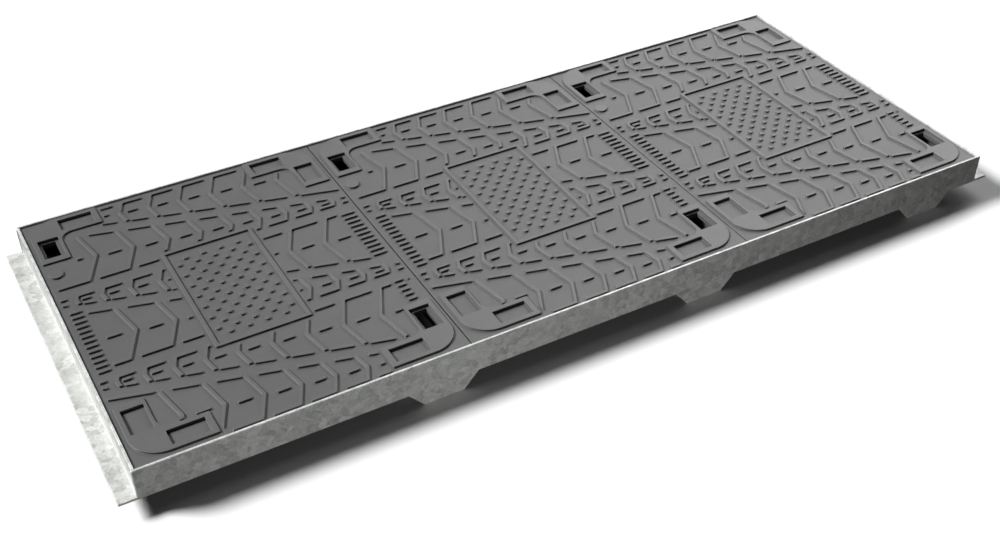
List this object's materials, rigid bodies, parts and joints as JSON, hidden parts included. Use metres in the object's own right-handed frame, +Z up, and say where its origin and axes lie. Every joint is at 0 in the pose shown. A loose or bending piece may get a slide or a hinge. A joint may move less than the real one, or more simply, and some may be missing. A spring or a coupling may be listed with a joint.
{
  "type": "access chamber cover",
  "caption": "Rectangular access chamber cover: ribbed cast-iron lift-out plates with key pockets, side by side in a welded galvanised angle frame with anchor lugs.",
  "frame": {"origin": "under the middle of the frame, at the level of the feet of the anchor lugs", "axes": "+X along the chamber, to the right seen from the front; +Y to the back; +Z up"},
  "size_m": [1.52, 0.601, 0.078],
  "materials": {
    "cast_iron": "matt, as cast, with a soft sheen on the tread tops",
    "galvanised_steel": "hot-dip galvanised, mottled spangle",
    "weld_metal": "galvanised weld bead",
    "elastomer": "matt black"
  },
  "bodies": {
    "frame": {"frame_front_rail": "galvanised_steel", "frame_back_rail": "galvanised_steel", "frame_left_end": "galvanised_steel", "frame_right_end": "galvanised_steel", "anchor_lug_front_left": "galvanised_steel", "anchor_lug_front_centre": "galvanised_steel", "anchor_lug_front_right": "galvanised_steel", "anchor_lug_back_left": "galvanised_steel", "anchor_lug_back_centre": "galvanised_steel", "anchor_lug_back_right": "galvanised_steel", "lug_welds_front": "weld_metal", "lug_welds_back": "weld_metal", "corner_weld_front_left": "weld_metal", "corner_weld_front_right": "weld_metal", "corner_weld_back_left": "weld_metal", "corner_weld_back_right": "weld_metal", "seat_strip_front": "elastomer", "seat_strip_back": "elastomer"},
    "plate_left": {"cover_plate_left": "cast_iron"},
    "plate_centre": {"cover_plate_centre": "cast_iron"},
    "plate_right": {"cover_plate_right": "cast_iron"}
  },
  "joints": [
    {"name": "lift_left", "type": "slide", "parent": "frame", "child": "plate_left", "axis": [0, 0, 1], "range_m": [0, 0.15]},
    {"name": "lift_centre", "type": "slide", "parent": "frame", "child": "plate_centre", "axis": [0, 0, 1], "range_m": [0, 0.15]},
    {"name": "lift_right", "type": "slide", "parent": "frame", "child": "plate_right", "axis": [0, 0, 1], "range_m": [0, 0.15]}
  ]
}
